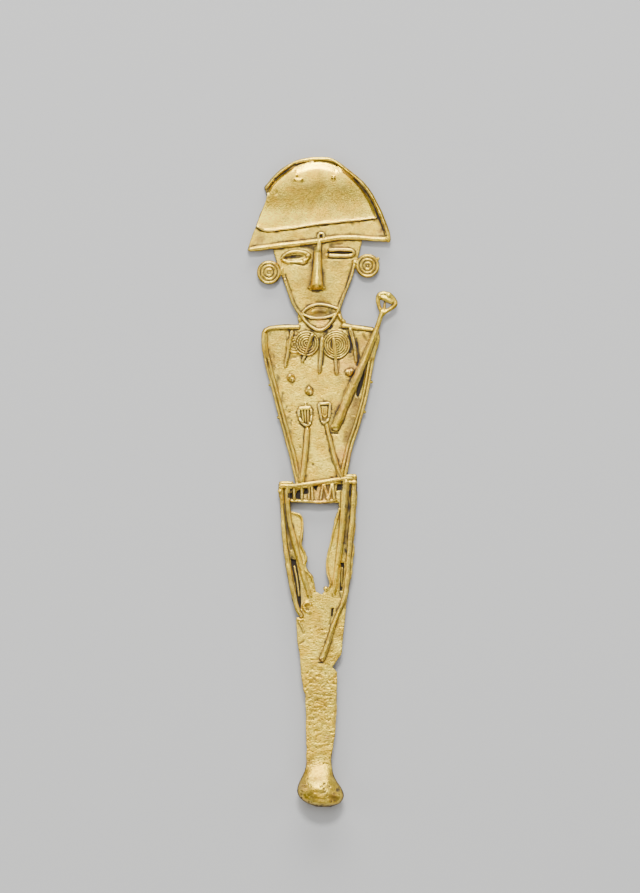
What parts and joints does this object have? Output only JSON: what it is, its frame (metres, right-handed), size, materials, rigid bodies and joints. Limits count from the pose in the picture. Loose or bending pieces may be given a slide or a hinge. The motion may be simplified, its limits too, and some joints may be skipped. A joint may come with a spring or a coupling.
{
  "type": "votive figurine",
  "caption": "Flat cast-gold votive figurine in a half-round hat, drawn in threads on sheet, holding a staff, with a torn window between its legs and a round lump at its foot.",
  "frame": {"origin": "middle of the figurine's bounding box, on the surface it lies on", "axes": "+X across the figure towards the hand side with the staff, +Y from the foot lump up to the hat, +Z out of its front. It lies on its back: the hat's back and the foot lump's flat spot are at z = 0"},
  "size_m": [0.03, 0.13, 0.0064],
  "materials": {
    "cast_gold": "lost-wax cast gold alloy, burnished on the hat and the foot lump, granular casting skin elsewhere, dark soil in the recesses"
  },
  "bodies": {
    "root": {"figurine": "cast_gold"}
  },
  "joints": []
}
